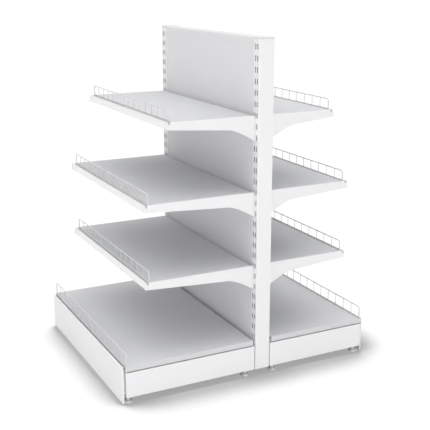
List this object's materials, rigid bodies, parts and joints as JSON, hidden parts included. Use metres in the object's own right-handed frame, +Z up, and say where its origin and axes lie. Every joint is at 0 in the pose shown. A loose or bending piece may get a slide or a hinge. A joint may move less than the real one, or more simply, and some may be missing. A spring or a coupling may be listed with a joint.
{
  "type": "gondola shelving",
  "caption": "Free-standing double-sided gondola shelving bay with slotted uprights, hooked brackets, lift-off shelf trays, wire fences, price rails and a base on levelling feet.",
  "frame": {"origin": "on the floor, under the middle of the bounding box", "axes": "+X along the bay, -Y towards the front side with the deeper shelves, +Z up"},
  "size_m": [1.05, 1.292, 1.592],
  "materials": {
    "white_coat": "satin white powder coat",
    "shelf_coat": "matt pale grey powder coat",
    "panel_coat": "matt white powder coat",
    "wire_coat": "light grey coated wire",
    "rail_plastic": "smooth white plastic",
    "cap_plastic": "matt grey plastic",
    "foot_metal": "light grey coated steel"
  },
  "bodies": {
    "frame": {"upright_left": "white_coat", "upright_cap_left": "cap_plastic", "upright_right": "white_coat", "upright_cap_right": "cap_plastic", "top_rail": "panel_coat", "bottom_rail": "white_coat", "front_panel": "panel_coat", "front_plinth": "white_coat", "front_base_leg_left": "white_coat", "front_end_cover_left": "white_coat", "front_base_leg_right": "white_coat", "front_end_cover_right": "white_coat", "front_lower_bracket_left": "white_coat", "front_lower_bracket_right": "white_coat", "front_middle_bracket_left": "white_coat", "front_middle_bracket_right": "white_coat", "front_top_bracket_left": "white_coat", "front_top_bracket_right": "white_coat", "back_panel": "panel_coat", "back_plinth": "white_coat", "back_base_leg_left": "white_coat", "back_end_cover_left": "white_coat", "back_base_leg_right": "white_coat", "back_end_cover_right": "white_coat", "back_lower_bracket_left": "white_coat", "back_lower_bracket_right": "white_coat", "back_middle_bracket_left": "white_coat", "back_middle_bracket_right": "white_coat", "back_top_bracket_left": "white_coat", "back_top_bracket_right": "white_coat"},
    "front_foot_left_inner": {"front_foot_left_inner": "foot_metal"},
    "front_foot_left_outer": {"front_foot_left_outer": "foot_metal"},
    "front_foot_right_inner": {"front_foot_right_inner": "foot_metal"},
    "front_foot_right_outer": {"front_foot_right_outer": "foot_metal"},
    "front_lower_shelf": {"front_lower_tray": "shelf_coat", "front_lower_price_rail": "rail_plastic"},
    "front_middle_shelf": {"front_middle_tray": "shelf_coat", "front_middle_price_rail": "rail_plastic"},
    "front_top_shelf": {"front_top_tray": "shelf_coat", "front_top_price_rail": "rail_plastic"},
    "front_base_deck": {"front_base_deck": "shelf_coat"},
    "front_lower_fence": {"front_lower_fence": "wire_coat"},
    "front_middle_fence": {"front_middle_fence": "wire_coat"},
    "front_top_fence": {"front_top_fence": "wire_coat"},
    "front_base_fence": {"front_base_fence": "wire_coat"},
    "back_foot_left_inner": {"back_foot_left_inner": "foot_metal"},
    "back_foot_left_outer": {"back_foot_left_outer": "foot_metal"},
    "back_foot_right_inner": {"back_foot_right_inner": "foot_metal"},
    "back_foot_right_outer": {"back_foot_right_outer": "foot_metal"},
    "back_lower_shelf": {"back_lower_tray": "shelf_coat", "back_lower_price_rail": "rail_plastic"},
    "back_middle_shelf": {"back_middle_tray": "shelf_coat", "back_middle_price_rail": "rail_plastic"},
    "back_top_shelf": {"back_top_tray": "shelf_coat", "back_top_price_rail": "rail_plastic"},
    "back_base_deck": {"back_base_deck": "shelf_coat"},
    "back_lower_fence": {"back_lower_fence": "wire_coat"},
    "back_middle_fence": {"back_middle_fence": "wire_coat"},
    "back_top_fence": {"back_top_fence": "wire_coat"},
    "back_base_fence": {"back_base_fence": "wire_coat"}
  },
  "joints": [
    {"name": "front_foot_left_inner_screw", "type": "slide", "parent": "frame", "child": "front_foot_left_inner", "axis": [0, 0, -1], "range_m": [0, 0.02]},
    {"name": "front_foot_left_outer_screw", "type": "slide", "parent": "frame", "child": "front_foot_left_outer", "axis": [0, 0, -1], "range_m": [0, 0.02]},
    {"name": "front_foot_right_inner_screw", "type": "slide", "parent": "frame", "child": "front_foot_right_inner", "axis": [0, 0, -1], "range_m": [0, 0.02]},
    {"name": "front_foot_right_outer_screw", "type": "slide", "parent": "frame", "child": "front_foot_right_outer", "axis": [0, 0, -1], "range_m": [0, 0.02]},
    {"name": "front_lower_shelf_lift", "type": "slide", "parent": "frame", "child": "front_lower_shelf", "axis": [0, 0, 1], "range_m": [0, 0.06]},
    {"name": "front_lower_fence_lift", "type": "slide", "parent": "front_lower_shelf", "child": "front_lower_fence", "axis": [0, 0, 1], "range_m": [0, 0.02]},
    {"name": "front_middle_shelf_lift", "type": "slide", "parent": "frame", "child": "front_middle_shelf", "axis": [0, 0, 1], "range_m": [0, 0.06]},
    {"name": "front_middle_fence_lift", "type": "slide", "parent": "front_middle_shelf", "child": "front_middle_fence", "axis": [0, 0, 1], "range_m": [0, 0.02]},
    {"name": "front_top_shelf_lift", "type": "slide", "parent": "frame", "child": "front_top_shelf", "axis": [0, 0, 1], "range_m": [0, 0.06]},
    {"name": "front_top_fence_lift", "type": "slide", "parent": "front_top_shelf", "child": "front_top_fence", "axis": [0, 0, 1], "range_m": [0, 0.02]},
    {"name": "front_base_shelf_lift", "type": "slide", "parent": "frame", "child": "front_base_deck", "axis": [0, 0, 1], "range_m": [0, 0.06]},
    {"name": "front_base_fence_lift", "type": "slide", "parent": "front_base_deck", "child": "front_base_fence", "axis": [0, 0, 1], "range_m": [0, 0.02]},
    {"name": "back_foot_left_inner_screw", "type": "slide", "parent": "frame", "child": "back_foot_left_inner", "axis": [0, 0, -1], "range_m": [0, 0.02]},
    {"name": "back_foot_left_outer_screw", "type": "slide", "parent": "frame", "child": "back_foot_left_outer", "axis": [0, 0, -1], "range_m": [0, 0.02]},
    {"name": "back_foot_right_inner_screw", "type": "slide", "parent": "frame", "child": "back_foot_right_inner", "axis": [0, 0, -1], "range_m": [0, 0.02]},
    {"name": "back_foot_right_outer_screw", "type": "slide", "parent": "frame", "child": "back_foot_right_outer", "axis": [0, 0, -1], "range_m": [0, 0.02]},
    {"name": "back_lower_shelf_lift", "type": "slide", "parent": "frame", "child": "back_lower_shelf", "axis": [0, 0, 1], "range_m": [0, 0.06]},
    {"name": "back_lower_fence_lift", "type": "slide", "parent": "back_lower_shelf", "child": "back_lower_fence", "axis": [0, 0, 1], "range_m": [0, 0.02]},
    {"name": "back_middle_shelf_lift", "type": "slide", "parent": "frame", "child": "back_middle_shelf", "axis": [0, 0, 1], "range_m": [0, 0.06]},
    {"name": "back_middle_fence_lift", "type": "slide", "parent": "back_middle_shelf", "child": "back_middle_fence", "axis": [0, 0, 1], "range_m": [0, 0.02]},
    {"name": "back_top_shelf_lift", "type": "slide", "parent": "frame", "child": "back_top_shelf", "axis": [0, 0, 1], "range_m": [0, 0.06]},
    {"name": "back_top_fence_lift", "type": "slide", "parent": "back_top_shelf", "child": "back_top_fence", "axis": [0, 0, 1], "range_m": [0, 0.02]},
    {"name": "back_base_shelf_lift", "type": "slide", "parent": "frame", "child": "back_base_deck", "axis": [0, 0, 1], "range_m": [0, 0.06]},
    {"name": "back_base_fence_lift", "type": "slide", "parent": "back_base_deck", "child": "back_base_fence", "axis": [0, 0, 1], "range_m": [0, 0.02]}
  ]
}
